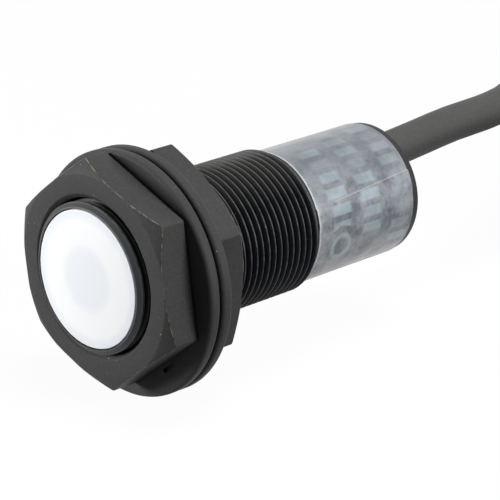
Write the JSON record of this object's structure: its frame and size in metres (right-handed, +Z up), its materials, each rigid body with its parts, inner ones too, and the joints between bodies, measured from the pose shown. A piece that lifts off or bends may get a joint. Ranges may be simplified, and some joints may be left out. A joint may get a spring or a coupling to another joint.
{
  "type": "inductive proximity sensor",
  "caption": "Threaded cylindrical proximity sensor with a white sensing face, hexagon mounting nuts with washers, a film sleeve and a moulded-in cable.",
  "frame": {"origin": "centre of the sensing face", "axes": "+X along the barrel's axis from the sensing face towards the cable, +Z up, so the part lies on its washers and its folded cable"},
  "size_m": [0.1766, 0.0496, 0.0295],
  "materials": {
    "barrel_plastic": "satin",
    "face_plastic": "satin",
    "nut_plastic": "satin",
    "cap_plastic": "satin",
    "label_film": "satin",
    "jacket": "satin",
    "clamp_steel": "brushed",
    "ferrite": "matte",
    "bobbin_plastic": "matte",
    "copper": "satin",
    "holder_plastic": "matte",
    "board": "satin",
    "chip_plastic": "matte",
    "capacitor_ceramic": "satin",
    "led_resin": "gloss",
    "brown_insulation": "satin",
    "black_insulation": "satin",
    "blue_insulation": "satin"
  },
  "bodies": {
    "sensor": {"housing": "barrel_plastic", "sensing_face": "face_plastic", "label_sleeve": "label_film", "end_cap": "cap_plastic", "cable_clamp": "clamp_steel", "ferrite_core": "ferrite", "coil_bobbin": "bobbin_plastic", "coil_winding": "copper", "core_holder": "holder_plastic", "circuit_board": "board", "controller_chip": "chip_plastic", "resistor_1": "chip_plastic", "resistor_2": "chip_plastic", "resistor_3": "chip_plastic", "resistor_4": "chip_plastic", "capacitor_1": "capacitor_ceramic", "capacitor_2": "capacitor_ceramic", "output_transistor": "chip_plastic", "protection_diode": "chip_plastic", "indicator_led": "led_resin", "wire_brown": "brown_insulation", "wire_black": "black_insulation", "wire_blue": "blue_insulation", "cable": "jacket", "cable_hank": "jacket", "cable_tail": "jacket", "lead_brown": "brown_insulation", "lead_black": "black_insulation", "lead_blue": "blue_insulation"},
    "front_nut": {"front_nut": "nut_plastic", "front_washer": "nut_plastic"},
    "rear_nut": {"rear_nut": "nut_plastic", "rear_washer": "nut_plastic"}
  },
  "joints": [
    {"name": "front_nut_travel", "type": "slide", "parent": "sensor", "child": "front_nut", "axis": [-1, 0, 0], "range_m": [0, 0.004]},
    {"name": "rear_nut_travel", "type": "slide", "parent": "sensor", "child": "rear_nut", "axis": [1, 0, 0], "range_m": [0, 0.0155]}
  ]
}
